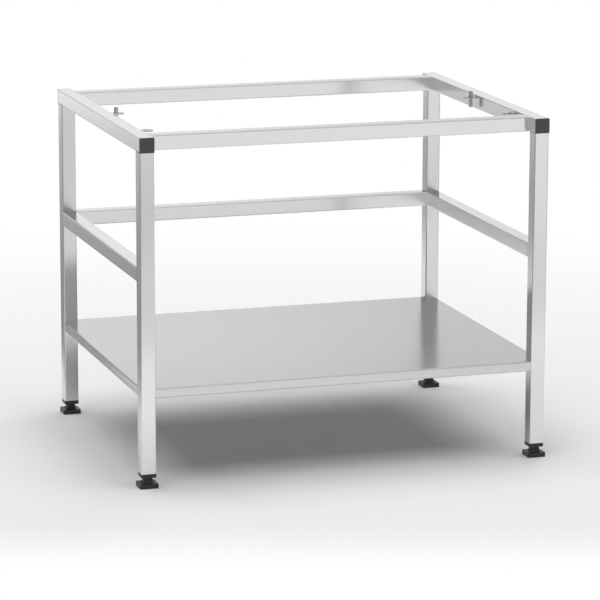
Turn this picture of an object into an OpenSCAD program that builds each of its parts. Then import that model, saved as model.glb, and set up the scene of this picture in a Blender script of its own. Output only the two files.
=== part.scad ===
// Oven stand: a welded frame of square steel tube with a folded lower shelf, four feet that
// screw in and out, and lugs and pins at the top that keep the oven in its place.
// The origin is the middle of the footprint on the floor: +X right, +Y rear, +Z up.

/* [Stand] */
// Width over the legs
stand_w = 848; // [600:1:1200]
// Depth over the legs
stand_d = 661; // [450:1:900]
// Height of the side rails' tops above the floor, with the feet screwed in
stand_h = 699; // [560:1:950]

/* [Tube] */
// Outer side of the square tube that the legs and rails are cut from
tube_side = 30; // [27:0.5:36]
// Wall of the tube
tube_wall = 1.5; // [1:0.1:2]
// Outer corner radius of the tube
tube_corner_r = 2.5; // [2.1:0.1:3.5]

/* [Rails] */
// Distance of the front and rear cross rails from the side rails' ends
cross_rail_inset = 27; // [5:1:60]
// Height of the mid rails' tops above the floor
mid_rail_z = 441; // [300:1:510]
// Distance of the rear mid rail's back from the backs of the rear legs
rear_mid_inset = 3; // [0:0.5:10]

/* [Shelf] */
// Height of the shelf's top above the floor
shelf_z = 201; // [120:1:380]
// Height of the shelf's folded edge
shelf_edge_h = 20.5; // [18:0.5:40]
// Distance of the folded edges from the outer faces of the legs
shelf_inset = 2; // [0:0.5:6]
// Width of the lip folded in under each edge
shelf_lip_w = 12; // [6:0.5:25]
// Thickness of the sheet that the shelf and its stiffener are folded from
sheet_t = 1.2; // [0.8:0.1:2]
// Outer radius of the folds
fold_r = 3; // [2.1:0.1:5]

/* [Shelf stiffener] */
// Width of the stiffener's crown
stiffener_crown_w = 40; // [20:1:80]
// Depth of the stiffener below the sheet of the shelf
stiffener_depth = 14; // [8:0.5:16]
// Width of each flange spot-welded to the shelf
stiffener_flange_w = 15; // [8:1:25]
// Gap between the stiffener's ends and the folded edges of the shelf
stiffener_end_gap = 4; // [1:0.5:20]

/* [End caps] */
// How far a cap stands proud of its rail's end
cap_face_t = 3; // [1.5:0.1:6]
// Rounding of the cap's outer edges
cap_edge_r = 0.8; // [0.2:0.1:1.2]
// Length of the cap's plug inside the rail
cap_plug_l = 14; // [8:0.5:25]
// Side of the plug's hollow core
cap_core_side = 20; // [12:0.5:22]
// Wall of the hollow core
cap_core_wall = 2; // [1:0.1:4]
// Number of ribs round the plug
cap_ribs = 3; // [2:1:4]

/* [Lugs and pins] */
// Length of a lug from the rail's inner face to its tip
lug_l = 28; // [24:0.5:45]
// Width of a lug
lug_w = 18; // [14:0.5:26]
// Thickness of a lug
lug_t = 3; // [2:0.5:6]
// Depth of the lugs' tops below the rails' tops
lug_drop = 3; // [2.5:0.5:15]
// Distance of a lug's hole from the rail's inner face
lug_hole_reach = 12; // [9:0.5:16]
// Distance of the front lugs from the front ends of the side rails
front_lug_y = 110.5; // [80:0.5:180]
// Distance of the middle lugs from the front ends of the side rails
middle_lug_y = 335; // [220:0.5:400]
// Diameter of a locating pin above its lug
pin_d = 9; // [8.5:0.1:12]
// Diameter of the pin's shank, which is pressed into the lug
pin_shank_d = 8; // [5:0.1:8.4]
// Length of the locating pins
pin_l = 34.5; // [25:0.5:60]
// Height of the pins' tips above the rails' tops
pin_rise = 9; // [4:0.5:14]
// Rounding of the pins' tips
pin_tip_r = 2.8; // [0.5:0.1:2.9]
// Chamfer at the pins' lower ends
pin_chamfer = 0.5; // [0.2:0.1:1.5]
// Gap drawn round a pin's shank in its lug
pin_gap = 0.05; // [0.02:0.01:0.2]

/* [Foot pads] */
// Side of the square pad
pad_side = 38; // [30:0.5:60]
// Height of the pad
pad_h = 9.5; // [8.5:0.5:16]
// Radius of the pad's upright corners
pad_corner_r = 4; // [2:0.5:8]
// Rounding of the pad's top edges
pad_top_r = 1.6; // [0.4:0.1:3]
// Rounding of the pad's lower edges
pad_foot_r = 0.8; // [0.2:0.1:1.5]
// Height of the boss on the pad
boss_h = 3.5; // [2:0.5:8]
// Side of the boss where it meets the pad
boss_foot_side = 21; // [18:0.5:28]

/* [Foot spindles] */
// Side of the spindle's square head, across its flats
head_side = 17; // [14:0.5:24]
// Height of the square head
head_h = 8; // [5:0.5:15]
// Radius of the square head's upright corners
head_corner_r = 1.5; // [0.5:0.1:3]
// Diameter of the threaded stud
stud_d = 10; // [8:0.5:12]
// How far a foot can be screwed out
foot_travel = 21; // [6:1.5:30]
// Thread left above the nut with the foot screwed right out
stud_spare = 4; // [1:0.5:15]
// Gap drawn between the stud and the head moulded round it
head_gap = 0.02; // [0.01:0.01:0.1]
// Chamfer at the stud's upper end
stud_chamfer = 1; // [0.2:0.1:2]
// Diameter of the stud's neck, which turns in the mouth of the pad
neck_d = 8; // [5:0.5:9]
// Diameter of the disc that keeps the stud in the pad
disc_d = 11; // [9.5:0.5:13]
// Height of the disc
disc_h = 3; // [1.5:0.5:4]
// Thickness of the pad under the disc
socket_floor_t = 4; // [2:0.5:5]
// Gap round the neck in the pad's mouth
neck_gap = 0.1; // [0.02:0.01:0.3]
// Gap round and over the disc
disc_gap = 0.3; // [0.2:0.1:1]

/* [Foot inserts] */
// Height of the insert's collar under the leg
collar_h = 8; // [4:0.5:15]
// Rounding of the collar's lower edges
collar_edge_r = 1; // [0.2:0.1:2]
// Length of the insert's plug inside the leg
insert_plug_l = 40; // [20:0.5:70]
// Diameter of the plug's hub
insert_hub_d = 23.5; // [21.5:0.1:23.9]
// Number of ribs round the plug
insert_ribs = 5; // [2:1:8]
// Side of the nut moulded into the insert, across its flats
nut_af = 17; // [15:0.5:18]
// Height of the nut
nut_h = 8; // [5:0.5:10]
// Distance of the nut above the end of the leg
nut_rise = 4; // [1:0.5:8]
// Gap round the stud in the nut and in the insert
screw_gap = 0.05; // [0.02:0.01:0.1]

/* [Plug ribs] */
// Thickness of the ribs round the caps' and inserts' plugs
rib_t = 1.4; // [0.8:0.1:2]
// Gap drawn between the ribs and the inside of the tube
rib_gap = 0.1; // [0.02:0.01:0.3]

/* [Hidden] */
$fn = 64;
// How far a cutting shape runs past the face that it opens
cut = 1;

// Inside of the tube
tube_bore = tube_side - 2 * tube_wall;
tube_bore_r = max(tube_corner_r - tube_wall, 0.2);
rib_side = tube_bore - 2 * rib_gap;

// Heights of the foot's pieces above the floor, from the pad up
boss_top_z = pad_h + boss_h;
head_top_z = boss_top_z + head_h;
leg_z = head_top_z + collar_h;
nut_z = leg_z + nut_rise;
stud_top_z = nut_z + nut_h + foot_travel + stud_spare;

// Middles of the legs and rails
leg_x = stand_w / 2 - tube_side / 2;
leg_y = stand_d / 2 - tube_side / 2;
rail_z = stand_h - tube_side / 2;
cross_rail_y = stand_d / 2 - cross_rail_inset - tube_side / 2;
rear_mid_y = stand_d / 2 - rear_mid_inset - tube_side / 2;

// Clear lengths between the legs, which the cross rails, the mid rails and the shelf fill
clear_w = stand_w - 2 * tube_side;
clear_d = stand_d - 2 * tube_side;

// Outer sizes of the shelf over its folded edges
shelf_w = stand_w - 2 * shelf_inset;
shelf_d = stand_d - 2 * shelf_inset;
fold_inner_r = max(fold_r - sheet_t, 0.2);

// Place of the lugs' holes and of the pins
lug_hole_x = clear_w / 2 - lug_hole_reach;
lug_top_z = stand_h - lug_drop;
pin_top_z = stand_h + pin_rise;

// Each corner of the stand: its name and the signs of its X and Y
CORNERS = [
    ["front_left", -1, -1], ["front_right", 1, -1],
    ["rear_left", -1, 1], ["rear_right", 1, 1],
];
// Each side of the stand: its name and the sign of its X
SIDES = [["left", -1], ["right", 1]];
// Each row of lugs: its name and its Y
LUG_ROWS = [
    ["front", front_lug_y - stand_d / 2],
    ["middle", middle_lug_y - stand_d / 2],
];
// The pieces that every corner has
CORNER_PIECES = ["leg", "end_cap", "foot_insert", "foot_nut", "foot_stud", "foot_head", "foot_pad"];

STEEL = [0.78, 0.79, 0.8];
ZINC = [0.62, 0.64, 0.66];
CAP_GREY = [0.24, 0.24, 0.25];
FOOT_BLACK = [0.13, 0.13, 0.14];

// Flat outlines

// A rectangle about the origin with round corners
module round_rect(w, h, r) {
    square([w - 2 * r, h], center = true);
    square([w, h - 2 * r], center = true);
    for (x = [-1, 1], y = [-1, 1])
        translate([x * (w / 2 - r), y * (h / 2 - r)]) circle(r);
}

// A rectangle standing on the X axis, with one radius at its top corners and one at its lower ones
module side_outline(w, h, top_r, foot_r) {
    translate([-w / 2, foot_r]) square([w, h - top_r - foot_r]);
    for (row = [[h - top_r, top_r], [foot_r, foot_r]]) if (row[1] > 0) {
        translate([0, row[0]]) square([w - 2 * row[1], 2 * row[1]], center = true);
        for (x = [-1, 1]) translate([x * (w / 2 - row[1]), row[0]]) circle(row[1]);
    }
}

// The section of the square tube
module tube_outline() {
    difference() {
        round_rect(tube_side, tube_side, tube_corner_r);
        round_rect(tube_bore, tube_bore, tube_bore_r);
    }
}

// The section of the shelf across one pair of its edges: sheet on top, edges and lips folded in
module shelf_outline(w) {
    difference() {
        translate([0, -shelf_edge_h / 2]) {
            difference() {
                round_rect(w, shelf_edge_h, fold_r);
                round_rect(w - 2 * sheet_t, shelf_edge_h - 2 * sheet_t, fold_inner_r);
            }
        }
        translate([shelf_lip_w - w / 2, -shelf_edge_h - cut])
            square([w - 2 * shelf_lip_w, sheet_t + 2 * cut]);
    }
}

// The hat section of the stiffener, hanging below the origin with its flanges at the top
module stiffener_outline() {
    hat_w = stiffener_crown_w + 2 * (stiffener_flange_w - sheet_t);
    difference() {
        union() {
            translate([0, -stiffener_depth])
                side_outline(stiffener_crown_w, stiffener_depth, 0, fold_r);
            translate([-hat_w / 2, -sheet_t]) square([hat_w, sheet_t]);
        }
        translate([0, sheet_t - stiffener_depth])
            side_outline(stiffener_crown_w - 2 * sheet_t, stiffener_depth, 0, fold_inner_r);
    }
}

// Shared solids

// A length of square tube standing on the origin
module tube(l) {
    color(STEEL) linear_extrude(l) tube_outline();
}

// A square block on the origin with round upright corners, top edges and lower edges
module soft_block(side, h, corner_r, top_r, foot_r) {
    intersection() {
        linear_extrude(h) round_rect(side, side, corner_r);
        for_each_way(side) side_outline(side, h, top_r, foot_r);
    }
}

// A square frustum on the origin
module frustum(foot_side, top_side, h) {
    for_each_way(foot_side) polygon([
        [-foot_side / 2, 0], [foot_side / 2, 0],
        [top_side / 2, h], [-top_side / 2, h],
    ]);
}

// What an upright outline leaves when it is run both front to back and left to right
module for_each_way(l) {
    intersection_for(turn = [0, 90])
        rotate([90, 0, turn]) linear_extrude(l + 2 * cut, center = true) children();
}

// Evenly spaced ribs up to height l that fill the tube's bore
module plug_ribs(l, ribs) {
    for (i = [1:ribs])
        translate([0, 0, i * l / ribs - rib_t])
            linear_extrude(rib_t) round_rect(rib_side, rib_side, tube_bore_r);
}

// Legs and rails

module leg(sx, sy) {
    translate([sx * leg_x, sy * leg_y, leg_z]) tube(stand_h - tube_side - leg_z);
}

// A rail from front to rear on one side
module side_rail(sx, z, l) {
    translate([sx * leg_x, -l / 2, z]) rotate([-90, 0, 0]) tube(l);
}

// A rail from left to right between the side pieces
module cross_rail(y, z) {
    translate([-clear_w / 2, y, z]) rotate([0, 90, 0]) tube(clear_w);
}

// Shelf

module shelf() {
    color(STEEL) translate([0, 0, shelf_z]) {
        rotate([90, 0, 0]) linear_extrude(clear_d, center = true) shelf_outline(shelf_w);
        rotate([90, 0, 90]) linear_extrude(clear_w, center = true) shelf_outline(shelf_d);
    }
}

module shelf_stiffener() {
    l = shelf_w - 2 * (sheet_t + stiffener_end_gap);
    color(STEEL) translate([0, 0, shelf_z - sheet_t])
        rotate([90, 0, 90]) linear_extrude(l, center = true) stiffener_outline();
}

// End caps of the side rails

module end_cap(sx, sy) {
    color(CAP_GREY)
        translate([sx * leg_x, sy * stand_d / 2, rail_z]) rotate([-90 * sy, 0, 0]) {
            soft_block(tube_side, cap_face_t, tube_corner_r, cap_edge_r, 0);
            mirror([0, 0, 1]) difference() {
                union() {
                    linear_extrude(cap_plug_l) square(cap_core_side, center = true);
                    plug_ribs(cap_plug_l, cap_ribs);
                }
                linear_extrude(cap_plug_l + cut)
                    square(cap_core_side - 2 * cap_core_wall, center = true);
            }
        }
}

// Lugs and locating pins

module lug(sx, y) {
    round_x = lug_l - lug_w / 2;
    color(STEEL) translate([sx * clear_w / 2, y, lug_top_z - lug_t])
        mirror([sx > 0 ? 1 : 0, 0, 0]) difference() {
            linear_extrude(lug_t) {
                translate([0, -lug_w / 2]) square([round_x, lug_w]);
                translate([round_x, 0]) circle(d = lug_w);
            }
            translate([lug_hole_reach, 0, -cut])
                cylinder(d = pin_shank_d + 2 * pin_gap, h = lug_t + 2 * cut);
        }
}

// The pin stands with its shoulder on the lug and its shank through the lug's hole
module locating_pin(sx, y) {
    r = pin_d / 2;
    tip_z = pin_top_z - pin_tip_r;
    shank_z = pin_top_z - pin_l;
    color(STEEL) translate([sx * lug_hole_x, y, 0]) {
        translate([0, 0, shank_z])
            cylinder(d1 = pin_shank_d - 2 * pin_chamfer, d2 = pin_shank_d, h = pin_chamfer);
        translate([0, 0, shank_z + pin_chamfer])
            cylinder(d = pin_shank_d, h = lug_top_z - shank_z - pin_chamfer);
        translate([0, 0, lug_top_z]) cylinder(r = r, h = tip_z - lug_top_z);
        translate([0, 0, tip_z]) rotate_extrude() {
            square([r - pin_tip_r, pin_tip_r]);
            intersection() {
                translate([r - pin_tip_r, 0]) circle(pin_tip_r);
                square([r, pin_tip_r]);
            }
        }
    }
}

// Feet

// Puts a foot's piece under the middle of its leg
module at_foot(sx, sy, z) {
    translate([sx * leg_x, sy * leg_y, z]) children();
}

// The hexagonal body of the nut
module nut_body() {
    cylinder(d = nut_af / cos(30), h = nut_h, $fn = 6);
}

module foot_insert(sx, sy) {
    color(FOOT_BLACK) difference() {
        at_foot(sx, sy, head_top_z) {
            soft_block(tube_side, collar_h, tube_corner_r, 0, collar_edge_r);
            translate([0, 0, collar_h]) {
                cylinder(d = insert_hub_d, h = insert_plug_l);
                plug_ribs(insert_plug_l, insert_ribs);
            }
        }
        at_foot(sx, sy, nut_z) nut_body();
        at_foot(sx, sy, head_top_z - cut)
            cylinder(d = stud_d + 2 * screw_gap, h = collar_h + insert_plug_l + 2 * cut);
    }
}

module foot_nut(sx, sy) {
    color(ZINC) at_foot(sx, sy, nut_z) difference() {
        nut_body();
        translate([0, 0, -cut]) cylinder(d = stud_d + 2 * screw_gap, h = nut_h + 2 * cut);
    }
}

module foot_stud(sx, sy) {
    shank_l = stud_top_z - boss_top_z - stud_chamfer;
    color(ZINC) {
        at_foot(sx, sy, socket_floor_t) cylinder(d = disc_d, h = disc_h);
        at_foot(sx, sy, socket_floor_t + disc_h)
            cylinder(d = neck_d, h = boss_top_z - socket_floor_t - disc_h);
        at_foot(sx, sy, boss_top_z) cylinder(d = stud_d, h = shank_l);
        at_foot(sx, sy, boss_top_z + shank_l)
            cylinder(d1 = stud_d, d2 = stud_d - 2 * stud_chamfer, h = stud_chamfer);
    }
}

module foot_head(sx, sy) {
    color(FOOT_BLACK) at_foot(sx, sy, boss_top_z) difference() {
        linear_extrude(head_h) round_rect(head_side, head_side, head_corner_r);
        translate([0, 0, -cut]) cylinder(d = stud_d + 2 * head_gap, h = head_h + 2 * cut);
    }
}

module foot_pad(sx, sy) {
    disc_room_h = disc_h + disc_gap;
    color(FOOT_BLACK) at_foot(sx, sy, 0) difference() {
        union() {
            soft_block(pad_side, pad_h, pad_corner_r, pad_top_r, pad_foot_r);
            translate([0, 0, pad_h]) frustum(boss_foot_side, head_side, boss_h);
        }
        translate([0, 0, socket_floor_t]) {
            cylinder(d = disc_d + 2 * disc_gap, h = disc_room_h);
            cylinder(d = neck_d + 2 * neck_gap, h = boss_top_z - socket_floor_t + cut);
        }
    }
}

for (corner = CORNERS) {
    leg(corner[1], corner[2]);
    end_cap(corner[1], corner[2]);
    foot_insert(corner[1], corner[2]);
    foot_nut(corner[1], corner[2]);
    foot_stud(corner[1], corner[2]);
    foot_head(corner[1], corner[2]);
    foot_pad(corner[1], corner[2]);
}
for (side = SIDES) {
    side_rail(side[1], rail_z, stand_d);
    side_rail(side[1], mid_rail_z - tube_side / 2, clear_d);
    locating_pin(side[1], LUG_ROWS[1][1]);
}
for (row = LUG_ROWS, side = SIDES)
    lug(side[1], row[1]);
cross_rail(-cross_rail_y, rail_z);  // top_rail_front
cross_rail(cross_rail_y, rail_z);  // top_rail_rear
cross_rail(rear_mid_y, mid_rail_z - tube_side / 2);  // mid_rail_rear
shelf();
shelf_stiffener();
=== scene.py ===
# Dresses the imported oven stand: ground steel, mouldings, threaded studs, weld seams and a studio.
import math

import bmesh
import bpy
from bpy.props import FloatProperty, FloatVectorProperty, IntProperty, PointerProperty
from bpy.types import Operator, Panel, PropertyGroup
from mathutils import Matrix, Vector


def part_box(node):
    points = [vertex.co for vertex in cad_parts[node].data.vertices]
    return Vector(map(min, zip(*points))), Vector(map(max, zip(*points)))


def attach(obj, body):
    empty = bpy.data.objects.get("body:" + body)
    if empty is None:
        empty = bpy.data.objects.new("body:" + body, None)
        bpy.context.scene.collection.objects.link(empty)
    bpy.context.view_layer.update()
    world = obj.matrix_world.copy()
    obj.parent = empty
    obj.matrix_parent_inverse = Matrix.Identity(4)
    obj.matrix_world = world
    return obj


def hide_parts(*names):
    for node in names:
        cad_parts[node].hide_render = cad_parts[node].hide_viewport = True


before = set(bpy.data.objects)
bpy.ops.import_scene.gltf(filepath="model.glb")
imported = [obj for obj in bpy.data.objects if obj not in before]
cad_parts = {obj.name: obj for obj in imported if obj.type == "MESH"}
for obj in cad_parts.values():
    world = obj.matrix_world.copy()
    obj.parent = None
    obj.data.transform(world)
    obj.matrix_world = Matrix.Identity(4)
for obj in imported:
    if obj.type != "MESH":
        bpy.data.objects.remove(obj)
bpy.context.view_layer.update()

bl_info = {
    "name": "Oven stand",
    "version": (1, 0, 0),
    "blender": (4, 5, 0),
    "location": "View3D > Sidebar > Oven stand",
    "description": "Finishes, threads, weld seams and studio for the oven stand",
    "category": "Add Mesh",
}

CORNERS = ("front_left", "front_right", "rear_left", "rear_right")
SIDES = ("left", "right")
# The tubes by the axis that they run along, which is also the way their grinding lines run
TUBES = {
    "X": ["top_rail_front", "top_rail_rear", "mid_rail_rear"],
    "Y": ["top_rail_left", "top_rail_right", "mid_rail_left", "mid_rail_right"],
    "Z": ["leg_" + corner for corner in CORNERS],
}
LUGS = ["lug_" + row + "_" + side for row in ("front", "middle") for side in SIDES]
PINS = ["locating_pin_" + side for side in SIDES]
CAPS = ["end_cap_" + corner for corner in CORNERS]
FOOT_MOULDINGS = ["foot_" + piece + "_" + corner for piece in ("insert", "head", "pad") for corner in CORNERS]
NUTS = ["foot_nut_" + corner for corner in CORNERS]


class SteelSettings(PropertyGroup):
    """Colours and grinding lines of the stand's steel."""

    tube_color: FloatVectorProperty(
        name="Tube colour", description="Colour of the ground stainless tube",
        subtype="COLOR", size=3, min=0, max=1, default=(0.793, 0.8, 0.799))
    sheet_color: FloatVectorProperty(
        name="Sheet colour", description="Colour of the ground stainless sheet of the shelf",
        subtype="COLOR", size=3, min=0, max=1, default=(0.72, 0.735, 0.732))
    lug_color: FloatVectorProperty(
        name="Lug colour", description="Colour of the lugs, a little darker than the tube",
        subtype="COLOR", size=3, min=0, max=1, default=(0.6, 0.61, 0.61))
    pin_color: FloatVectorProperty(
        name="Pin colour", description="Colour of the turned pins",
        subtype="COLOR", size=3, min=0, max=1, default=(0.64, 0.645, 0.65))
    zinc_color: FloatVectorProperty(
        name="Zinc colour", description="Colour of the plated studs and nuts",
        subtype="COLOR", size=3, min=0, max=1, default=(0.66, 0.68, 0.70))
    line_spacing: FloatProperty(
        name="Line spacing", description="Mean spacing of the grinding lines",
        unit="LENGTH", subtype="DISTANCE", precision=5, min=0.0002, max=0.005, default=0.0009)
    line_depth: FloatProperty(
        name="Line depth", description="Depth that the grinding lines are drawn with",
        unit="LENGTH", subtype="DISTANCE", precision=6, min=0, max=0.0005, default=0.000001)


class MouldingSettings(PropertyGroup):
    """Colours and surface of the moulded caps and feet."""

    cap_color: FloatVectorProperty(
        name="Cap colour", description="Colour of the end caps",
        subtype="COLOR", size=3, min=0, max=1, default=(0.07, 0.075, 0.083))
    foot_color: FloatVectorProperty(
        name="Foot colour", description="Colour of the feet and of the inserts that carry them",
        subtype="COLOR", size=3, min=0, max=1, default=(0.022, 0.023, 0.026))
    roughness: FloatProperty(
        name="Roughness", description="Mean roughness of the mouldings",
        subtype="FACTOR", min=0.1, max=1, default=0.42)
    grain_size: FloatProperty(
        name="Grain size", description="Size of the moulded grain",
        unit="LENGTH", subtype="DISTANCE", precision=5, min=0.0001, max=0.005, default=0.0007)
    grain_depth: FloatProperty(
        name="Grain depth", description="Depth of the moulded grain",
        unit="LENGTH", subtype="DISTANCE", precision=6, min=0, max=0.0005, default=0.00004)


class StudSettings(PropertyGroup):
    """Thread of the foot studs."""

    pitch: FloatProperty(
        name="Pitch", description="Pitch of the thread",
        unit="LENGTH", subtype="DISTANCE", precision=4, min=0.0005, max=0.003, default=0.0015)
    depth: FloatProperty(
        name="Depth", description="Depth of the thread",
        unit="LENGTH", subtype="DISTANCE", precision=5, min=0.0002, max=0.002, default=0.00086)
    sides: IntProperty(
        name="Sides", description="Number of steps that one turn of the thread is made of",
        min=8, max=64, default=24)


class WeldSettings(PropertyGroup):
    """Weld seams and spot welds."""

    bead_size: FloatProperty(
        name="Bead size", description="Height and width of a weld bead in its corner",
        unit="LENGTH", subtype="DISTANCE", precision=4, min=0.0005, max=0.004, default=0.0022)
    ripple: FloatProperty(
        name="Ripple", description="Distance between the ripples of a bead",
        unit="LENGTH", subtype="DISTANCE", precision=4, min=0.0005, max=0.004, default=0.0016)
    spot_diameter: FloatProperty(
        name="Spot diameter", description="Diameter of the spot welds of the shelf's stiffener",
        unit="LENGTH", subtype="DISTANCE", precision=4, min=0.002, max=0.012, default=0.006)
    spot_spacing: FloatProperty(
        name="Spot spacing", description="Distance between the spot welds",
        unit="LENGTH", subtype="DISTANCE", precision=3, min=0.02, max=0.2, default=0.075)


class StudioSettings(PropertyGroup):
    """Camera, floor, lamp and room."""

    camera_place: FloatVectorProperty(
        name="Camera place", description="Where the camera stands",
        unit="LENGTH", subtype="TRANSLATION", size=3, default=(-2.050951, -6.427905, 1.741253))
    camera_turn: FloatProperty(
        name="Camera turn", description="How far the camera is turned to the right of straight ahead",
        unit="ROTATION", subtype="ANGLE", default=0.309902)
    camera_dip: FloatProperty(
        name="Camera dip", description="How far the camera looks down",
        unit="ROTATION", subtype="ANGLE", default=0.212467)
    camera_roll: FloatProperty(
        name="Camera roll", description="How far the camera leans about its own line of sight",
        unit="ROTATION", subtype="ANGLE", default=0.002387)
    focal_length: FloatProperty(
        name="Focal length", description="Focal length of the camera's lens, in millimetres",
        min=20, max=400, default=199.135)
    floor_color: FloatVectorProperty(
        name="Floor colour", description="Colour of the floor",
        subtype="COLOR", size=3, min=0, max=1, default=(0.86, 0.86, 0.86))
    sky_strength: FloatProperty(
        name="Room light", description="Strength of the light from the room all round",
        min=0, max=3, default=0.145)
    lamp_power: FloatProperty(
        name="Lamp power", description="Power of the lamp overhead",
        subtype="POWER", unit="POWER", min=0, max=2000, default=215)
    front_room: FloatProperty(
        name="Room in front", description="Brightness of the room behind the camera, as the steel mirrors it",
        min=0, max=3, default=0.28)
    rear_room: FloatProperty(
        name="Room behind", description="Brightness of the room behind the stand, as the steel mirrors it",
        min=0, max=3, default=0.9)
    left_room: FloatProperty(
        name="Room on the left", description="Share of that brightness that is left on the left side",
        min=0, max=1, default=0.8)
    rear_left_room: FloatProperty(
        name="Room behind on the left", description="Share of that brightness left to the rear left",
        min=0, max=1, default=0.42)
    rear_right_room: FloatProperty(
        name="Room behind on the right", description="Share of that brightness left to the rear right",
        min=0, max=1, default=0.72)
    side_room: FloatProperty(
        name="Room at the sides", description="Share of that brightness that is left far to both sides",
        min=0, max=1, default=0.7)


def new_material(name):
    """A material with nothing in it but its output and a Principled shader."""
    material = bpy.data.materials.new(name)
    material.use_nodes = True
    nodes = material.node_tree.nodes
    nodes.clear()
    output = nodes.new("ShaderNodeOutputMaterial")
    shader = nodes.new("ShaderNodeBsdfPrincipled")
    material.node_tree.links.new(shader.outputs["BSDF"], output.inputs["Surface"])
    return material, shader


def new_group(name, inputs, outputs):
    """A shader node group with its named sockets, its inner input and output nodes, and its tree."""
    tree = bpy.data.node_groups.new(name, "ShaderNodeTree")
    for label, kind, value in inputs:
        socket = tree.interface.new_socket(name=label, in_out="INPUT", socket_type=kind)
        socket.default_value = value
    for label, kind in outputs:
        tree.interface.new_socket(name=label, in_out="OUTPUT", socket_type=kind)
    given = tree.nodes.new("NodeGroupInput")
    made = tree.nodes.new("NodeGroupOutput")
    return tree, given, made


def math_node(tree, operation, first, second):
    """A math node fed by numbers or sockets, and its output."""
    node = tree.nodes.new("ShaderNodeMath")
    node.operation = operation
    for i, value in enumerate((first, second)):
        if isinstance(value, (int, float)):
            node.inputs[i].default_value = value
        else:
            tree.links.new(value, node.inputs[i])
    return node.outputs[0]


def smooth_step(tree, value, start, end, low, high):
    """A smooth change from low to high while a value runs from start to end."""
    node = tree.nodes.new("ShaderNodeMapRange")
    node.interpolation_type = "SMOOTHSTEP"
    node.inputs["From Min"].default_value = start
    node.inputs["From Max"].default_value = end
    node.inputs["To Min"].default_value = low
    node.inputs["To Max"].default_value = high
    tree.links.new(value, node.inputs["Value"])
    return node.outputs["Result"]


def noise_node(tree, vector, scale, detail):
    """A noise texture over a vector, and its value."""
    node = tree.nodes.new("ShaderNodeTexNoise")
    node.inputs["Detail"].default_value = detail
    tree.links.new(vector, node.inputs["Vector"])
    if isinstance(scale, (int, float)):
        node.inputs["Scale"].default_value = scale
    else:
        tree.links.new(scale, node.inputs["Scale"])
    return node.outputs["Fac"]


def vary(tree, given, made, change):
    """Lets a value round 0 change a group's roughness and colour, each by its own share."""
    rough = math_node(tree, "MULTIPLY", change, given.outputs["Roughness change"])
    rough = math_node(tree, "ADD", given.outputs["Roughness"], rough)
    tree.links.new(rough, made.inputs["Roughness"])
    shade = math_node(tree, "MULTIPLY", change, given.outputs["Colour change"])
    shade = math_node(tree, "ADD", shade, 1)
    color = tree.nodes.new("ShaderNodeVectorMath")
    color.operation = "SCALE"
    tree.links.new(given.outputs["Colour"], color.inputs[0])
    tree.links.new(shade, color.inputs["Scale"])
    tree.links.new(color.outputs[0], made.inputs["Colour"])


# The mean value of a noise texture
NOISE_MEAN = 0.5
# The grinding lines' noise, and the cloudy patches between them: patches per metre, and detail of both
LINE_DETAIL = 3
PATCHES_PER_METRE = 3
PATCH_DETAIL = 2
# The noise along the grinding runs at this share of its rate across it, which draws it out into lines
LINE_STRETCH = 0.012
# The mouldings' grain and handling marks: marks per metre, and detail of both
GRAIN_DETAIL = 2
MARKS_PER_METRE = 60
MARK_DETAIL = 5


def ground_lines_group():
    """Grinding lines: streaks along one axis, with cloudy patches where the belt pressed harder."""
    tree, given, made = new_group("Ground lines", [
        ("Stretch", "NodeSocketVector", (1, 1, 1)),
        ("Lines per metre", "NodeSocketFloat", 1000),
        ("Colour", "NodeSocketColor", (0.8, 0.8, 0.8, 1)),
        ("Roughness", "NodeSocketFloat", 0.25),
        ("Roughness change", "NodeSocketFloat", 0.04),
        ("Colour change", "NodeSocketFloat", 0.03),
    ], [
        ("Colour", "NodeSocketColor"),
        ("Roughness", "NodeSocketFloat"),
        ("Height", "NodeSocketFloat"),
    ])
    place = tree.nodes.new("ShaderNodeTexCoord").outputs["Object"]
    stretched = tree.nodes.new("ShaderNodeVectorMath")
    stretched.operation = "MULTIPLY"
    tree.links.new(place, stretched.inputs[0])
    tree.links.new(given.outputs["Stretch"], stretched.inputs[1])
    lines = noise_node(tree, stretched.outputs[0], given.outputs["Lines per metre"], LINE_DETAIL)
    patches = noise_node(tree, place, PATCHES_PER_METRE, PATCH_DETAIL)
    lines_off = math_node(tree, "SUBTRACT", lines, NOISE_MEAN)
    patches_off = math_node(tree, "SUBTRACT", patches, NOISE_MEAN)
    vary(tree, given, made, math_node(tree, "ADD", lines_off, patches_off))
    tree.links.new(lines, made.inputs["Height"])
    return tree


def moulded_grain_group():
    """The fine grain of a moulding, with faint handling marks."""
    tree, given, made = new_group("Moulded grain", [
        ("Grains per metre", "NodeSocketFloat", 1400),
        ("Colour", "NodeSocketColor", (0.05, 0.05, 0.05, 1)),
        ("Roughness", "NodeSocketFloat", 0.45),
        ("Roughness change", "NodeSocketFloat", 0.3),
        ("Colour change", "NodeSocketFloat", 0.25),
    ], [
        ("Colour", "NodeSocketColor"),
        ("Roughness", "NodeSocketFloat"),
        ("Height", "NodeSocketFloat"),
    ])
    place = tree.nodes.new("ShaderNodeTexCoord").outputs["Object"]
    grain = noise_node(tree, place, given.outputs["Grains per metre"], GRAIN_DETAIL)
    marks = noise_node(tree, place, MARKS_PER_METRE, MARK_DETAIL)
    vary(tree, given, made, math_node(tree, "SUBTRACT", marks, NOISE_MEAN))
    tree.links.new(grain, made.inputs["Height"])
    return tree


def group_once(name, maker):
    """The node group of that name, made the first time it is asked for."""
    return bpy.data.node_groups.get(name) or maker()


def add_bump(material, shader, height, depth):
    """Lets a height change the shader's normal."""
    bump = material.node_tree.nodes.new("ShaderNodeBump")
    bump.inputs["Distance"].default_value = depth
    material.node_tree.links.new(height, bump.inputs["Height"])
    material.node_tree.links.new(bump.outputs["Normal"], shader.inputs["Normal"])


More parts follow.
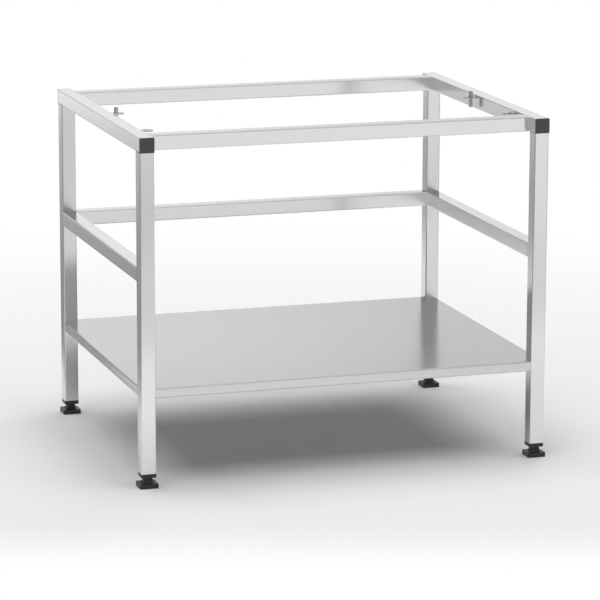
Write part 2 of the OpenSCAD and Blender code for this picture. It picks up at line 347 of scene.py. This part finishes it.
# Each steel finish: the axis of its grinding, how far the gloss is drawn out across that, and its roughness
STEEL_FINISHES = {
    "tube_steel_x": ("X", 0.8, 0.17),
    "tube_steel_y": ("Y", 0.8, 0.16),
    "tube_steel_z": ("Z", 0.85, 0.22),
    "lug_steel": ("X", 0.6, 0.2),
    "shelf_steel": ("X", 0.85, 0.22),
    "pin_steel": ("Z", 0.3, 0.12),
    "nut_zinc": ("Z", 0.2, 0.34),
    "stud_zinc": ("Z", 0.2, 0.34),
    "bead_steel": ("Y", 0, 0.3),
    "spot_steel": ("X", 0, 0.32),
}


def ground_steel(name, color, settings):
    """Steel ground along one axis, with its gloss drawn out across the grinding lines."""
    along, anisotropy, roughness = STEEL_FINISHES[name]
    material, shader = new_material(name)
    tree = material.node_tree
    lines = tree.nodes.new("ShaderNodeGroup")
    lines.node_tree = group_once("Ground lines", ground_lines_group)
    lines.inputs["Stretch"].default_value = [LINE_STRETCH if axis == along else 1 for axis in "XYZ"]
    lines.inputs["Lines per metre"].default_value = 1 / settings.line_spacing
    lines.inputs["Colour"].default_value = (*color, 1)
    lines.inputs["Roughness"].default_value = roughness
    tree.links.new(lines.outputs["Colour"], shader.inputs["Base Color"])
    tree.links.new(lines.outputs["Roughness"], shader.inputs["Roughness"])
    add_bump(material, shader, lines.outputs["Height"], settings.line_depth)
    shader.inputs["Metallic"].default_value = 1
    shader.inputs["Anisotropic"].default_value = anisotropy
    tangent = tree.nodes.new("ShaderNodeTangent")
    tangent.direction_type = "RADIAL"
    tangent.axis = along
    tree.links.new(tangent.outputs["Tangent"], shader.inputs["Tangent"])
    return material


PLASTIC_IOR = 1.5


def moulding(name, color, settings):
    """Fine-grained plastic."""
    material, shader = new_material(name)
    tree = material.node_tree
    grain = tree.nodes.new("ShaderNodeGroup")
    grain.node_tree = group_once("Moulded grain", moulded_grain_group)
    grain.inputs["Grains per metre"].default_value = 1 / settings.grain_size
    grain.inputs["Colour"].default_value = (*color, 1)
    grain.inputs["Roughness"].default_value = settings.roughness
    tree.links.new(grain.outputs["Colour"], shader.inputs["Base Color"])
    tree.links.new(grain.outputs["Roughness"], shader.inputs["Roughness"])
    add_bump(material, shader, grain.outputs["Height"], settings.grain_depth)
    shader.inputs["IOR"].default_value = PLASTIC_IOR
    return material


def dress(nodes, material):
    """Gives CAD nodes a material."""
    for node in nodes:
        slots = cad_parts[node].data.materials
        slots.clear()
        slots.append(material)


def new_piece(name, mesh, material, body):
    """A new piece of the object that rides on a body and takes its finish from a slot."""
    piece = bpy.data.objects.new(name, mesh)
    bpy.context.scene.collection.objects.link(piece)
    mesh.materials.append(material)
    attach(piece, body)
    return piece


def ring_point(made, centre, radius, height, step, sides):
    """A point on a circle round a centre, at one of the even steps round it."""
    angle = math.tau * step / sides
    return made.verts.new(centre + Vector((radius * math.cos(angle), radius * math.sin(angle), height)))


def ring(made, centre, radius, height, sides):
    """A level circle of points round a centre."""
    return [ring_point(made, centre, radius, height, step, sides) for step in range(sides)]


def join_rings(made, rings):
    """Faces between each circle of points and the next."""
    for lower, upper in zip(rings, rings[1:]):
        for i in range(len(lower)):
            k = (i + 1) % len(lower)
            made.faces.new((lower[i], lower[k], upper[k], upper[i]))


# The stud's disc, neck and plain shank, as radius and height above its lowest point
STUD_FOOT = (
    (0.0052, 0), (0.0055, 0.0003), (0.0055, 0.0027), (0.0052, 0.003), (0.004, 0.003), (0.004, 0.009),
    (0.0047, 0.009), (0.005, 0.0093), (0.005, 0.0178),
)
# The chamfer at the stud's upper end
STUD_CHAMFER = 0.0008
# The form of a turn of thread: how far up the pitch each point is, and its share of the full depth
THREAD_FORM = ((0, 1), (0.12, 1), (0.46, 0), (0.62, 0), (0.96, 1))
# Turns over which the thread grows shallower at its upper end
THREAD_RUN_OUT = 0.8
# Points nearer to each other than this are one point
MERGE_DISTANCE = 0.000001


def threaded_stud(low, high, settings):
    """The stud's mesh: the disc and neck in the pad, and a threaded shank above them."""
    made = bmesh.new()
    foot = Vector(((low.x + high.x) / 2, (low.y + high.y) / 2, low.z))
    length = high.z - low.z
    sides = settings.sides
    rise = settings.pitch / sides
    foot_rings = [ring(made, foot, radius, height, sides) for radius, height in STUD_FOOT]
    join_rings(made, foot_rings)
    made.faces.new(foot_rings[0])
    # The thread winds up as one strip, with a row of points for each step round the shank
    thread_r, thread_start = STUD_FOOT[-1]
    steps = int((length - STUD_CHAMFER - thread_start) / rise) - sides
    rows = []
    for step in range(steps + 1):
        depth = settings.depth * min(1, step / sides, (steps - step) / (sides * THREAD_RUN_OUT))
        height = thread_start + step * rise
        rows.append([
            ring_point(made, foot, thread_r - depth * share, height + up * settings.pitch, step, sides)
            for up, share in THREAD_FORM
        ])
    for left, right in zip(rows, rows[1:]):
        for i in range(len(THREAD_FORM) - 1):
            made.faces.new((left[i], right[i], right[i + 1], left[i + 1]))
    for step in range(steps - sides):
        made.faces.new((rows[step][-1], rows[step + 1][-1],
                        rows[step + 1 + sides][0], rows[step + sides][0]))
    # The strip's first turn is closed down to the plain shank, and its last turn up to the chamfered end
    end_rings = [ring(made, foot, thread_r, thread_start + steps * rise + settings.pitch, sides),
                 ring(made, foot, thread_r - STUD_CHAMFER, length, sides)]
    for step in range(sides):
        made.faces.new((foot_rings[-1][step], foot_rings[-1][(step + 1) % sides],
                        rows[step + 1][0], rows[step][0]))
    made.faces.new(rows[0] + [rows[sides][0]])
    for step in range(steps - sides, steps):
        made.faces.new((rows[step][-1], rows[step + 1][-1],
                        end_rings[0][(step + 1) % sides], end_rings[0][step % sides]))
    made.faces.new([rows[steps - sides][-1]] + rows[steps] + [end_rings[0][steps % sides]])
    join_rings(made, end_rings)
    made.faces.new(end_rings[-1])
    bmesh.ops.remove_doubles(made, verts=made.verts, dist=MERGE_DISTANCE)
    bmesh.ops.recalc_face_normals(made, faces=made.faces)
    return made


# Edges bent by more than this stay sharp
SHARP_ANGLE = math.radians(32)


def finished_mesh(name, made, smooth=True):
    """A mesh from a bmesh, shaded smooth but for its sharp edges."""
    for face in made.faces:
        face.smooth = smooth
    for edge in made.edges:
        if len(edge.link_faces) == 2 and edge.calc_face_angle(0) > SHARP_ANGLE:
            edge.smooth = False
    mesh = bpy.data.meshes.new(name)
    made.to_mesh(mesh)
    made.free()
    return mesh


# Form of a weld bead. Its face has this many points across it, and this many steps along each ripple.
BEAD_POINTS = 5
BEAD_STEPS = 4
BEAD_FEWEST_STEPS = 6
# Shares of the bead's size: how high a ripple is, how long its tapered ends are, and what is left at the tips
BEAD_RIPPLE = 0.1
BEAD_TAPER = 0.8
BEAD_TIP = 0.15
# Shares of the bead's size by which its face is hollowed, and filled again in the middle
BEAD_HOLLOW = 0.319
BEAD_FILL = 0.1
# How far the bead's root lies inside the corner
BEAD_ROOT = 0.0002


def weld_bead(made, start, end, first_way, second_way, settings):
    """A bead in the corner between two faces: the two ways point from the corner along the faces."""
    start, end = Vector(start), Vector(end)
    first_way, second_way = Vector(first_way), Vector(second_way)
    length = (end - start).length
    along = (end - start).normalized()
    taper = settings.bead_size * BEAD_TAPER
    steps = max(BEAD_FEWEST_STEPS, int(length / settings.ripple * BEAD_STEPS))
    rows = []
    for step in range(steps + 1):
        gone = length * step / steps
        fade = max(min(1, gone / taper, (length - gone) / taper), BEAD_TIP)
        size = settings.bead_size * fade * (1 + BEAD_RIPPLE * math.sin(math.tau * gone / settings.ripple))
        corner = start + along * gone
        row = []
        for k in range(BEAD_POINTS):
            angle = math.pi / 2 * k / (BEAD_POINTS - 1)
            middle = math.sin(2 * angle)
            across = [size * (part * (1 - BEAD_HOLLOW * middle) + BEAD_FILL * middle)
                      for part in (math.cos(angle), math.sin(angle))]
            row.append(made.verts.new(corner + first_way * across[0] + second_way * across[1]))
        row.append(made.verts.new(corner - (first_way + second_way) * BEAD_ROOT))
        rows.append(row)
    join_rings(made, rows)
    made.faces.new(list(reversed(rows[0])))
    made.faces.new(rows[-1])


class STAND_OT_steel(Operator):
    """Grinds the tubes, lugs and shelf along their length and turns the pins bright"""

    bl_idname = "stand.steel"
    bl_label = "Steel"

    def execute(self, context):
        settings = context.scene.stand_steel
        for along, tubes in TUBES.items():
            dress(tubes, ground_steel("tube_steel_" + along.lower(), settings.tube_color, settings))
        dress(LUGS, ground_steel("lug_steel", settings.lug_color, settings))
        dress(["shelf", "shelf_stiffener"], ground_steel("shelf_steel", settings.sheet_color, settings))
        dress(PINS, ground_steel("pin_steel", settings.pin_color, settings))
        dress(NUTS, ground_steel("nut_zinc", settings.zinc_color, settings))
        return {"FINISHED"}


class STAND_OT_mouldings(Operator):
    """Gives the caps and feet their fine-grained plastic"""

    bl_idname = "stand.mouldings"
    bl_label = "Caps and feet"

    def execute(self, context):
        settings = context.scene.stand_moulding
        dress(CAPS, moulding("cap_plastic", settings.cap_color, settings))
        dress(FOOT_MOULDINGS, moulding("foot_plastic", settings.foot_color, settings))
        return {"FINISHED"}


class STAND_OT_studs(Operator):
    """Puts studs with a cut thread in the place of the plain ones"""

    bl_idname = "stand.studs"
    bl_label = "Threaded studs"

    def execute(self, context):
        steel = context.scene.stand_steel
        zinc = ground_steel("stud_zinc", steel.zinc_color, steel)
        for corner in CORNERS:
            low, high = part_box("foot_stud_" + corner)
            mesh = finished_mesh("stud_" + corner, threaded_stud(low, high, context.scene.stand_stud))
            stud = new_piece("threaded_stud_" + corner, mesh, zinc, "spindle_" + corner)
            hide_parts("foot_stud_" + corner)
        return {"FINISHED"}


# Weld beads end this far short of a tube's edges, clear of its rounded corners, and of a lug's edges
TUBE_BEAD_INSET = 0.003
LUG_BEAD_INSET = 0.001


class STAND_OT_welds(Operator):
    """Lays the weld beads at the legs, at the cross rails and under the lugs"""

    bl_idname = "stand.welds"
    bl_label = "Welds"

    def execute(self, context):
        settings = context.scene.stand_weld
        steel = context.scene.stand_steel
        bead_steel = ground_steel("bead_steel", steel.tube_color, steel)
        made = bmesh.new()
        for corner in CORNERS:
            leg_low, leg_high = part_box("leg_" + corner)
            inward = 1 if leg_low.y < 0 else -1
            inner_y = leg_high.y if inward > 0 else leg_low.y
            left_x = leg_low.x + TUBE_BEAD_INSET
            right_x = leg_high.x - TUBE_BEAD_INSET
            side = "left" if leg_low.x < 0 else "right"
            mid_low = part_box("mid_rail_" + side)[0]
            for z in (leg_high.z, mid_low.z):
                weld_bead(made, (left_x, inner_y, z), (right_x, inner_y, z),
                          (0, inward, 0), (0, 0, -1), settings)
        for node in ("top_rail_front", "top_rail_rear", "mid_rail_rear"):
            low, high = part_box(node)
            for x, inward in ((low.x, 1), (high.x, -1)):
                weld_bead(made, (x, high.y, low.z + TUBE_BEAD_INSET), (x, high.y, high.z - TUBE_BEAD_INSET),
                          (inward, 0, 0), (0, 1, 0), settings)
        for node in LUGS:
            low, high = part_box(node)
            x, inward = (low.x, 1) if low.x < 0 else (high.x, -1)
            weld_bead(made, (x, low.y + LUG_BEAD_INSET, low.z), (x, high.y - LUG_BEAD_INSET, low.z),
                      (inward, 0, 0), (0, 0, -1), settings)
        bmesh.ops.recalc_face_normals(made, faces=made.faces)
        new_piece("weld_beads", finished_mesh("weld_beads", made), bead_steel, "frame")
        return {"FINISHED"}


# The stiffener's sheet, the part of its length that has no spot welds, and their distance from its edges
STIFFENER_SHEET = 0.0012
SPOT_FREE_LENGTH = 0.05
SPOT_FROM_EDGE = 0.0072
# Form of a spot weld: shares of its radius, and how deep each circle lies in the flange's face
SPOT_FORM = ((1, 0.0001), (0.86, -0.00022), (0.7, -0.00006), (0.25, -0.00003))
SPOT_SIDES = 20


class STAND_OT_spot_welds(Operator):
    """Presses the spot welds into the flanges of the shelf's stiffener"""

    bl_idname = "stand.spot_welds"
    bl_label = "Spot welds"

    def execute(self, context):
        settings = context.scene.stand_weld
        steel = context.scene.stand_steel
        low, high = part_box("shelf_stiffener")
        flange_z = high.z - STIFFENER_SHEET
        radius = settings.spot_diameter / 2
        made = bmesh.new()
        count = int((high.x - low.x - SPOT_FREE_LENGTH) / settings.spot_spacing)
        first = (low.x + high.x) / 2 - settings.spot_spacing * count / 2
        for i in range(count + 1):
            for y in (low.y + SPOT_FROM_EDGE, high.y - SPOT_FROM_EDGE):
                centre = Vector((first + i * settings.spot_spacing, y, flange_z))
                rings = [ring(made, centre, radius * share, depth, SPOT_SIDES) for share, depth in SPOT_FORM]
                join_rings(made, rings)
                made.faces.new(rings[0])
                made.faces.new(rings[-1])
        bmesh.ops.recalc_face_normals(made, faces=made.faces)
        spot_steel = ground_steel("spot_steel", steel.sheet_color, steel)
        new_piece("spot_welds", finished_mesh("spot_welds", made), spot_steel, "frame")
        return {"FINISHED"}


def seen_directly(tree):
    """1 for what the camera sees by itself, in gloss or through glass, and 0 where rays light surfaces."""
    path = tree.nodes.new("ShaderNodeLightPath")
    seen = math_node(tree, "MAXIMUM", path.outputs["Is Camera Ray"], path.outputs["Is Glossy Ray"])
    seen = math_node(tree, "MAXIMUM", seen, path.outputs["Is Transmission Ray"])
    scattered = math_node(tree, "GREATER_THAN", path.outputs["Diffuse Depth"], 0)
    return math_node(tree, "MULTIPLY", seen, math_node(tree, "SUBTRACT", 1, scattered))


FLOOR_RADIUS = 30
FLOOR_SIDES = 96
# The floor turns white over these distances, in all directions from the stand's middle
FLOOR_FADE = (0.7, 2.4)
# It turns white sooner along this level direction, to the front and a little to the left
FLOOR_EDGE_WAY = (-0.305, -0.952, 0)
FLOOR_EDGE_FADE = (0.66, 1)


def floor_material(settings):
    """A pale floor that keeps the shadow, turns white away from the stand and isn't seen from below."""
    material, shader = new_material("floor")
    tree = material.node_tree
    shader.inputs["Base Color"].default_value = (*settings.floor_color, 1)
    shader.inputs["Roughness"].default_value = 1
    shader.inputs["Specular IOR Level"].default_value = 0
    white = tree.nodes.new("ShaderNodeEmission")
    place = tree.nodes.new("ShaderNodeTexCoord").outputs["Object"]
    far = tree.nodes.new("ShaderNodeVectorMath")
    far.operation = "LENGTH"
    tree.links.new(place, far.inputs[0])
    all_round = smooth_step(tree, far.outputs["Value"], *FLOOR_FADE, 0, 1)
    ahead = tree.nodes.new("ShaderNodeVectorMath")
    ahead.operation = "DOT_PRODUCT"
    ahead.inputs[1].default_value = FLOOR_EDGE_WAY
    tree.links.new(place, ahead.inputs[0])
    in_front = smooth_step(tree, ahead.outputs["Value"], *FLOOR_EDGE_FADE, 0, 1)
    whiteness = math_node(tree, "MAXIMUM", all_round, in_front)
    share = math_node(tree, "MULTIPLY", whiteness, seen_directly(tree))
    mix = tree.nodes.new("ShaderNodeMixShader")
    tree.links.new(share, mix.inputs["Fac"])
    tree.links.new(shader.outputs["BSDF"], mix.inputs[1])
    tree.links.new(white.outputs["Emission"], mix.inputs[2])
    clear = tree.nodes.new("ShaderNodeBsdfTransparent")
    under = tree.nodes.new("ShaderNodeMixShader")
    back = tree.nodes.new("ShaderNodeNewGeometry")
    tree.links.new(back.outputs["Backfacing"], under.inputs["Fac"])
    tree.links.new(mix.outputs["Shader"], under.inputs[1])
    tree.links.new(clear.outputs["BSDF"], under.inputs[2])
    output = next(node for node in tree.nodes if node.type == "OUTPUT_MATERIAL")
    tree.links.new(under.outputs["Shader"], output.inputs["Surface"])
    return material


# Cards that lie on the floor outside the picture's frame. Only the gloss of the steel shows them.
# Each has its outline, its near and far grey, and the two places along Y between which the grey changes.
CARD_HEIGHT = 0.0004
CARDS = {
    "left_card": (((-5, -5.5), (0.45, -5.5), (0.3, -3), (-0.9, -1.9), (-1, -1.2), (-1.3, 0), (-1.3, 3.5),
                   (-5, 3.5)),
                  0.34, 0.62, 1.2, 3.2),
    "far_left_card": (((-5, 3.5), (-1.3, 3.5), (-1.3, 5.2), (-5, 5.2)), 0.62, 1, 3.7, 4.5),
    "rear_left_card": (((-1.3, 0), (-0.76, 0), (0.49, 5.2), (-1.3, 5.2)), 0.34, 0.48, 1, 4),
    "right_card": (((1.7, -1.4), (2.6, -3), (4.1, -5.5), (6, -5.5), (6, -0.3), (1.1, -0.3)), 0.3, 0.3, 0, 1),
    "front_card": (((-0.9, -1.5), (-0.8, -1.9), (0.35, -3), (0.5, -5.5), (4, -5.5), (2.55, -3), (1.65, -1.5)),
                   1, 0.78, -3.6, -1.5),
}


def card_material(name, near, far, start, end):
    """A card that glows in one grey, or in greys that change along Y, for gloss alone."""
    material = bpy.data.materials.new(name)
    material.use_nodes = True
    tree = material.node_tree
    tree.nodes.clear()
    output = tree.nodes.new("ShaderNodeOutputMaterial")
    glow = tree.nodes.new("ShaderNodeEmission")
    place = tree.nodes.new("ShaderNodeTexCoord").outputs["Object"]
    parts = tree.nodes.new("ShaderNodeSeparateXYZ")
    tree.links.new(place, parts.inputs[0])
    tree.links.new(smooth_step(tree, parts.outputs["Y"], start, end, near, far), glow.inputs["Strength"])
    clear = tree.nodes.new("ShaderNodeBsdfTransparent")
    mix = tree.nodes.new("ShaderNodeMixShader")
    tree.links.new(seen_directly(tree), mix.inputs["Fac"])
    tree.links.new(clear.outputs["BSDF"], mix.inputs[1])
    tree.links.new(glow.outputs["Emission"], mix.inputs[2])
    tree.links.new(mix.outputs["Shader"], output.inputs["Surface"])
    return material


# The mirrored room changes between these parts of a direction's length, from a low to a high one.
# Upward: where the front grows as bright as the rear, and where the ceiling starts
ROOM_FRONT_TOP = (0.3, 0.55)
ROOM_CEILING_START = (0.5, 0.85)
# To the rear: from the front to the rear. To either side: where the far sides start
ROOM_REARWARD = (-0.35, 0.35)
ROOM_SIDEWAYS = (0.55, 0.9)
# To the right: where the left side ends, and where the dimmer part of the rear left ends
ROOM_LEFT_END = (-0.4, -0.15)
ROOM_REAR_LEFT_END = (-0.28, -0.12)
# To the right and upward: where the dimmer part of the rear right starts
ROOM_REAR_RIGHT_START = (0.25, 0.38)
ROOM_REAR_RIGHT_FOOT = (0.17, 0.24)
# Share of the brightness that the ceiling has
ROOM_CEILING = 0.85


def background(tree):
    """A white background node."""
    node = tree.nodes.new("ShaderNodeBackground")
    node.inputs["Color"].default_value = (1, 1, 1, 1)
    return node


def room_light(settings):
    """A white room for what the camera and the gloss see, and a plain level of light for the rest."""
    world = bpy.data.worlds.new("room")
    world.use_nodes = True
    tree = world.node_tree
    tree.nodes.clear()
    output = tree.nodes.new("ShaderNodeOutputWorld")
    light = background(tree)
    light.inputs["Strength"].default_value = settings.sky_strength
    seen_room = background(tree)
    glossy_room = background(tree)
    direction = tree.nodes.new("ShaderNodeTexCoord").outputs["Generated"]
    parts = tree.nodes.new("ShaderNodeSeparateXYZ")
    tree.links.new(direction, parts.inputs[0])
    front = smooth_step(tree, parts.outputs["Z"], *ROOM_FRONT_TOP, settings.front_room, settings.rear_room)
    to_rear = smooth_step(tree, parts.outputs["Y"], *ROOM_REARWARD, 0, 1)
    short = math_node(tree, "SUBTRACT", settings.rear_room, front)
    level = math_node(tree, "ADD", front, math_node(tree, "MULTIPLY", short, to_rear))
    sideways = math_node(tree, "ABSOLUTE", parts.outputs["X"], 0)
    most_lost = 1 - settings.rear_left_room
    left_loss = smooth_step(tree, parts.outputs["X"], *ROOM_REAR_LEFT_END, most_lost, 0)
    most_lost = 1 - settings.rear_right_room
    right_loss = smooth_step(tree, parts.outputs["X"], *ROOM_REAR_RIGHT_START, 0, most_lost)
    over_foot = smooth_step(tree, parts.outputs["Z"], *ROOM_REAR_RIGHT_FOOT, 0, 1)
    shares = [
        smooth_step(tree, parts.outputs["Z"], *ROOM_CEILING_START, 1, ROOM_CEILING),
        smooth_step(tree, sideways, *ROOM_SIDEWAYS, 1, settings.side_room),
        smooth_step(tree, parts.outputs["X"], *ROOM_LEFT_END, settings.left_room, 1),
    ]
    for loss in (left_loss, math_node(tree, "MULTIPLY", right_loss, over_foot)):
        shares.append(math_node(tree, "SUBTRACT", 1, math_node(tree, "MULTIPLY", loss, to_rear)))
    for share in shares:
        level = math_node(tree, "MULTIPLY", level, share)
    tree.links.new(level, glossy_room.inputs["Strength"])
    path = tree.nodes.new("ShaderNodeLightPath")
    gloss = tree.nodes.new("ShaderNodeMixShader")
    tree.links.new(path.outputs["Is Glossy Ray"], gloss.inputs["Fac"])
    tree.links.new(seen_room.outputs["Background"], gloss.inputs[1])
    tree.links.new(glossy_room.outputs["Background"], gloss.inputs[2])
    seen = tree.nodes.new("ShaderNodeMixShader")
    tree.links.new(seen_directly(tree), seen.inputs["Fac"])
    tree.links.new(light.outputs["Background"], seen.inputs[1])
    tree.links.new(gloss.outputs["Shader"], seen.inputs[2])
    tree.links.new(seen.outputs["Shader"], output.inputs["Surface"])
    return world


LAMP_PLACE = Vector((0.1, 0.4, 3.2))
LAMP_AIM = Vector((0.1, 0.4, 0))
LAMP_SIZE = 6.5


def overhead_lamp(power):
    """A soft square lamp that neither the camera nor the gloss shows."""
    light = bpy.data.lights.new("overhead", "AREA")
    light.size = LAMP_SIZE
    light.energy = power
    lamp = bpy.data.objects.new("overhead", light)
    bpy.context.scene.collection.objects.link(lamp)
    lamp.location = LAMP_PLACE
    lamp.rotation_euler = (LAMP_AIM - LAMP_PLACE).to_track_quat("-Z", "Y").to_euler()
    lamp.visible_camera = False
    lamp.visible_glossy = False


# The camera's film width in millimetres, and how far it sees in metres
FILM_WIDTH = 36
SIGHT = 100


def stage_piece(name, made, material):
    """A piece of the stage from a bmesh."""
    piece = bpy.data.objects.new(name, finished_mesh(name, made, False))
    bpy.context.scene.collection.objects.link(piece)
    piece.data.materials.append(material)
    return piece


class STAND_OT_studio(Operator):
    """Sets up the floor, the room, the lamp and the camera"""

    bl_idname = "stand.studio"
    bl_label = "Studio"

    def execute(self, context):
        settings = context.scene.stand_studio
        scene = context.scene
        made = bmesh.new()
        bmesh.ops.create_circle(made, cap_ends=True, segments=FLOOR_SIDES, radius=FLOOR_RADIUS)
        stage_piece("floor", made, floor_material(settings))
        for name, (outline, near, far, start, end) in CARDS.items():
            made = bmesh.new()
            made.faces.new([made.verts.new((x, y, CARD_HEIGHT)) for x, y in outline])
            card = stage_piece(name, made, card_material(name, near, far, start, end))
            card.visible_camera = False
            card.visible_diffuse = False
            card.visible_shadow = False
            card.visible_transmission = False
        scene.world = room_light(settings)
        overhead_lamp(settings.lamp_power)
        camera = bpy.data.objects.new("camera", bpy.data.cameras.new("camera"))
        scene.collection.objects.link(camera)
        camera.data.sensor_width = FILM_WIDTH
        camera.data.lens = settings.focal_length
        camera.data.clip_end = SIGHT
        turn = Matrix.Rotation(-settings.camera_turn, 4, "Z")
        dip = Matrix.Rotation(math.pi / 2 - settings.camera_dip, 4, "X")
        roll = Matrix.Rotation(settings.camera_roll, 4, "Z")
        camera.matrix_world = Matrix.Translation(settings.camera_place) @ turn @ dip @ roll
        scene.camera = camera
        scene.view_settings.view_transform = "Standard"
        return {"FINISHED"}


class STAND_PT_panel(Panel):
    """Lists the steps that dress the stand"""

    bl_idname = "STAND_PT_panel"
    bl_label = "Oven stand"
    bl_space_type = "VIEW_3D"
    bl_region_type = "UI"
    bl_category = "Oven stand"

    def draw(self, context):
        layout = self.layout
        for operator in OPERATORS:
            layout.operator(operator.bl_idname)
        for name in SETTINGS:
            group = getattr(context.scene, name)
            box = layout.box()
            for key in group.bl_rna.properties.keys():
                if key not in ("rna_type", "name"):
                    box.prop(group, key)


SETTINGS = {
    "stand_steel": SteelSettings,
    "stand_moulding": MouldingSettings,
    "stand_stud": StudSettings,
    "stand_weld": WeldSettings,
    "stand_studio": StudioSettings,
}
OPERATORS = (
    STAND_OT_steel, STAND_OT_mouldings, STAND_OT_studs, STAND_OT_welds, STAND_OT_spot_welds, STAND_OT_studio,
)


def register():
    for name, group in SETTINGS.items():
        bpy.utils.register_class(group)
        setattr(bpy.types.Scene, name, PointerProperty(type=group))
    for operator in OPERATORS:
        bpy.utils.register_class(operator)
    bpy.utils.register_class(STAND_PT_panel)


def unregister():
    bpy.utils.unregister_class(STAND_PT_panel)
    for operator in reversed(OPERATORS):
        bpy.utils.unregister_class(operator)
    for name, group in SETTINGS.items():
        delattr(bpy.types.Scene, name)
        bpy.utils.unregister_class(group)


def main():
    register()
    bpy.ops.stand.steel()
    bpy.ops.stand.mouldings()
    bpy.ops.stand.studs()
    bpy.ops.stand.welds()
    bpy.ops.stand.spot_welds()
    bpy.ops.stand.studio()


if __name__ == "__main__":
    main()
